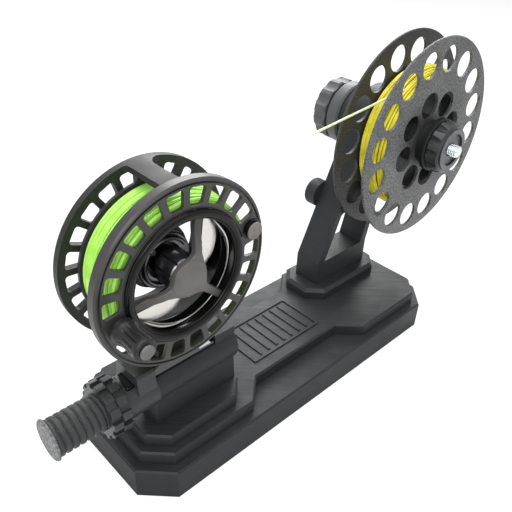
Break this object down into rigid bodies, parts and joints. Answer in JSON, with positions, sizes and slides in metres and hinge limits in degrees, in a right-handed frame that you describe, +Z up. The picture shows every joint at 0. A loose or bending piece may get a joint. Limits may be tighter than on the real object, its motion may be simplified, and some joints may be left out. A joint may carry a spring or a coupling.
{
  "type": "fishing line winder",
  "caption": "Bench winder for fly line: stepped base, reel seat with a large-arbor fly reel, and a leaning post with a free-running perforated line spool.",
  "frame": {"origin": "centre of the base's underside, on the bench", "axes": "+X along the base from the reel seat to the post, -Y the front with the reel handle and the spool's hand knob, +Z up"},
  "size_m": [0.3436, 0.1152, 0.2014],
  "materials": {
    "printed_black": "satin black printed plastic with fine layer lines",
    "printed_disc": "dark grey fine-grained printed plastic",
    "printed_cap": "grey printed plastic",
    "anodised_black": "black anodised machined alloy",
    "polished_alloy": "polished champagne anodised alloy",
    "bright_steel": "bright turned steel",
    "zinc_rod": "bright zinc-plated threaded rod",
    "black_steel": "black oxide steel",
    "ballast_steel": "plain flat bar",
    "brass_insert": "turned brass",
    "handle_black": "semi-gloss black plastic",
    "green_line": "coated lime green fly line",
    "yellow_line": "coated yellow line",
    "pale_line": "pale coated line end"
  },
  "bodies": {
    "base": {"base_body": "printed_black", "bottom_cover": "printed_black", "cover_screws": "black_steel", "ballast_bars": "ballast_steel", "seat_pedestal": "printed_black", "pedestal_bolts": "black_steel", "seat_barrel": "printed_black", "barrel_end_cap": "printed_cap", "seat_screw": "black_steel", "reel_foot": "anodised_black", "foot_screws": "black_steel", "reel_frame": "anodised_black", "reel_spindle": "bright_steel", "drag_housing": "anodised_black", "arm_post": "printed_black", "post_bolts": "black_steel", "post_peg": "printed_black", "peg_screw": "black_steel", "axle_bearings": "bright_steel"},
    "reel": {"reel_spool": "anodised_black", "spool_spider": "polished_alloy", "reel_bearings": "bright_steel", "clutch_ring": "anodised_black", "hub_cap": "anodised_black", "handle_pin": "bright_steel", "counterweight": "anodised_black", "green_line_winding": "green_line"},
    "handle": {"handle_knob": "handle_black"},
    "drag": {"drag_knob": "anodised_black"},
    "hood": {"sliding_hood": "printed_black"},
    "clamp_nut": {"seat_nut": "printed_black"},
    "locking_nut": {"lock_nut": "printed_black"},
    "line_spool": {"axle_rod": "zinc_rod", "bearing_spacer": "bright_steel", "front_spacer": "bright_steel", "rear_flange": "printed_black", "rear_knob": "printed_black", "rear_spool_disc": "printed_disc", "front_spool_disc": "printed_disc", "spool_core": "printed_disc", "flange_screws": "black_steel", "yellow_line_winding": "yellow_line", "yellow_line_tail": "pale_line"},
    "collar": {"front_collar": "printed_black"},
    "hand_knob": {"front_knob": "printed_black", "front_insert": "brass_insert"}
  },
  "joints": [
    {"name": "spool_spin", "type": "hinge", "parent": "base", "child": "line_spool", "pos_m": [0.117, 0, 0.1352], "axis": [0, 1, 0], "continuous": true},
    {"name": "reel_spin", "type": "hinge", "parent": "base", "child": "reel", "pos_m": [-0.091, 0, 0.1294], "axis": [0, 1, 0], "continuous": true},
    {"name": "handle_spin", "type": "hinge", "parent": "reel", "child": "handle", "pos_m": [-0.12703, -0.043, 0.11975], "axis": [0, 1, 0], "continuous": true},
    {"name": "drag_turn", "type": "hinge", "parent": "base", "child": "drag", "pos_m": [-0.091, 0.005, 0.1294], "axis": [0, 1, 0], "range_deg": [0, 720]},
    {"name": "hood_travel", "type": "slide", "parent": "base", "child": "hood", "axis": [-1, 0, 0], "range_m": [0, 0.022]},
    {"name": "clamp_nut_turn", "type": "hinge", "parent": "hood", "child": "clamp_nut", "pos_m": [-0.1265, -0.016, 0.06], "axis": [-1, 0, 0], "range_deg": [0, 2201]},
    {"name": "locking_nut_turn", "type": "hinge", "parent": "hood", "child": "locking_nut", "pos_m": [-0.1315, -0.016, 0.06], "axis": [-1, 0, 0], "range_deg": [0, 2201]},
    {"name": "collar_travel", "type": "slide", "parent": "line_spool", "child": "collar", "axis": [0, -1, 0], "range_m": [0, 0.006]},
    {"name": "hand_knob_turn", "type": "hinge", "parent": "collar", "child": "hand_knob", "pos_m": [0.117, -0.033, 0.1352], "axis": [0, -1, 0], "range_deg": [0, 1729]}
  ],
  "couplings": [
    {"joint": "clamp_nut_turn", "follows": "hood_travel", "rad_per_m": 1745.3},
    {"joint": "locking_nut_turn", "follows": "hood_travel", "rad_per_m": 1745.3},
    {"joint": "hand_knob_turn", "follows": "collar_travel", "rad_per_m": 5026.5}
  ]
}
